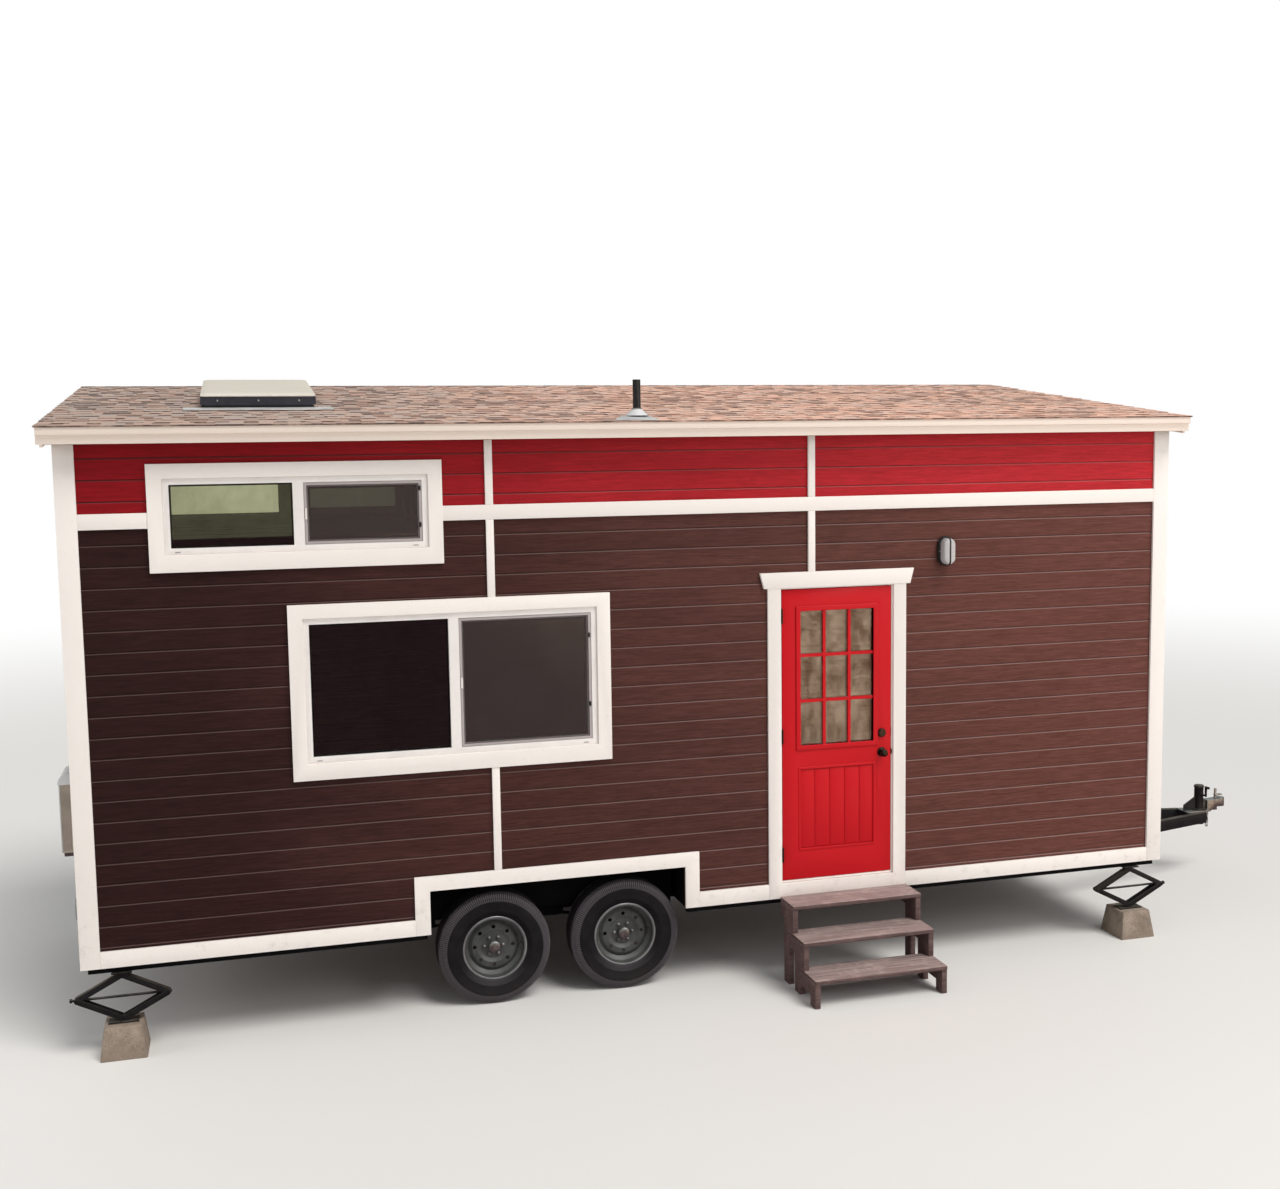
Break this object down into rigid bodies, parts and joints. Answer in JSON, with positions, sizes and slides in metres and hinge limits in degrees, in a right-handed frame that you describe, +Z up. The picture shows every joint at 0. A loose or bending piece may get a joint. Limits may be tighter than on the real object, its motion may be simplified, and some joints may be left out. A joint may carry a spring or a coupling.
{
  "type": "tiny house on wheels",
  "caption": "Small wood-sided house with a single-slope roof on a tandem-axle trailer, with a hinged door, slider windows, steps, jacks and pier blocks.",
  "frame": {"origin": "middle of the outline, on the ground under the house", "axes": "+X along the house towards the hitch, +Y from the door side to the back, +Z up"},
  "size_m": [9.44, 3.3752, 4.2518],
  "materials": {
    "black_steel": "satin black paint",
    "zinc": "dull zinc plate",
    "grey_rim": "grey-silver paint",
    "rubber": "worn rubber",
    "concrete": "cast concrete",
    "framing": "plain softwood lining",
    "floor_wood": "oiled boards",
    "brown_siding": "dark brown stain",
    "red_siding": "red paint",
    "cream_trim": "cream paint",
    "shingle": "mineral granules",
    "vinyl": "white vinyl",
    "clear_glass": "clear float glass",
    "red_door": "bright red paint",
    "dark_bronze": "oil-rubbed bronze",
    "step_wood": "weathered stained boards",
    "dark_metal": "dark anodised",
    "white_acrylic": "dusty white acrylic",
    "black_plastic": "black plastic",
    "white_steel": "white powder coat",
    "grey_plastic": "grey plastic"
  },
  "bodies": {
    "house": {"frame_rails": "black_steel", "crossmembers": "black_steel", "tongue_bars": "black_steel", "hitch_coupler": "zinc", "tongue_jack": "black_steel", "safety_chain": "zinc", "axles": "black_steel", "leaf_springs": "black_steel", "scissor_jacks": "black_steel", "pier_blocks": "concrete", "wheel_boxes": "black_steel", "floor": "floor_wood", "front_wall_left": "framing", "front_wall_right": "framing", "front_wall_header": "framing", "back_wall": "framing", "end_walls": "framing", "loft_floor": "floor_wood", "lower_siding": "brown_siding", "upper_siding": "red_siding", "roof_deck": "framing", "roof_shingles": "shingle", "fascia": "cream_trim", "corner_boards": "cream_trim", "belly_band": "cream_trim", "battens": "cream_trim", "skirt_boards": "cream_trim", "wheel_opening_trim": "cream_trim", "window_casings": "cream_trim", "window_frames": "vinyl", "window_glass": "clear_glass", "door_casing": "cream_trim", "door_jamb": "cream_trim", "jamb_hinges": "dark_bronze", "step_treads": "step_wood", "step_frames": "step_wood", "skylight_curb": "dark_metal", "skylight_lid": "white_acrylic", "vent_pipe": "black_plastic", "wall_lamp": "black_plastic", "heat_unit": "white_steel", "inlet_box": "grey_plastic"},
    "door": {"door_slab": "red_door", "door_glass": "clear_glass", "door_hardware": "dark_bronze", "door_hinges": "dark_bronze"},
    "front_near_wheel": {"front_near_tire": "rubber", "front_near_rim": "grey_rim"},
    "rear_near_wheel": {"rear_near_tire": "rubber", "rear_near_rim": "grey_rim"},
    "front_far_wheel": {"front_far_tire": "rubber", "front_far_rim": "grey_rim"},
    "rear_far_wheel": {"rear_far_tire": "rubber", "rear_far_rim": "grey_rim"}
  },
  "joints": [
    {"name": "door_hinge", "type": "hinge", "parent": "house", "child": "door", "pos_m": [0.1455, -1.04285, 0.684], "axis": [0, 0, -1], "range_deg": [0, 110]},
    {"name": "front_near_wheel_spin", "type": "hinge", "parent": "house", "child": "front_near_wheel", "pos_m": [-0.969, -0.83785, 0.382], "axis": [0, 1, 0], "continuous": true},
    {"name": "rear_near_wheel_spin", "type": "hinge", "parent": "house", "child": "rear_near_wheel", "pos_m": [-1.869, -0.83785, 0.382], "axis": [0, 1, 0], "continuous": true},
    {"name": "front_far_wheel_spin", "type": "hinge", "parent": "house", "child": "front_far_wheel", "pos_m": [-0.969, 1.31715, 0.382], "axis": [0, 1, 0], "continuous": true},
    {"name": "rear_far_wheel_spin", "type": "hinge", "parent": "house", "child": "rear_far_wheel", "pos_m": [-1.869, 1.31715, 0.382], "axis": [0, 1, 0], "continuous": true}
  ]
}
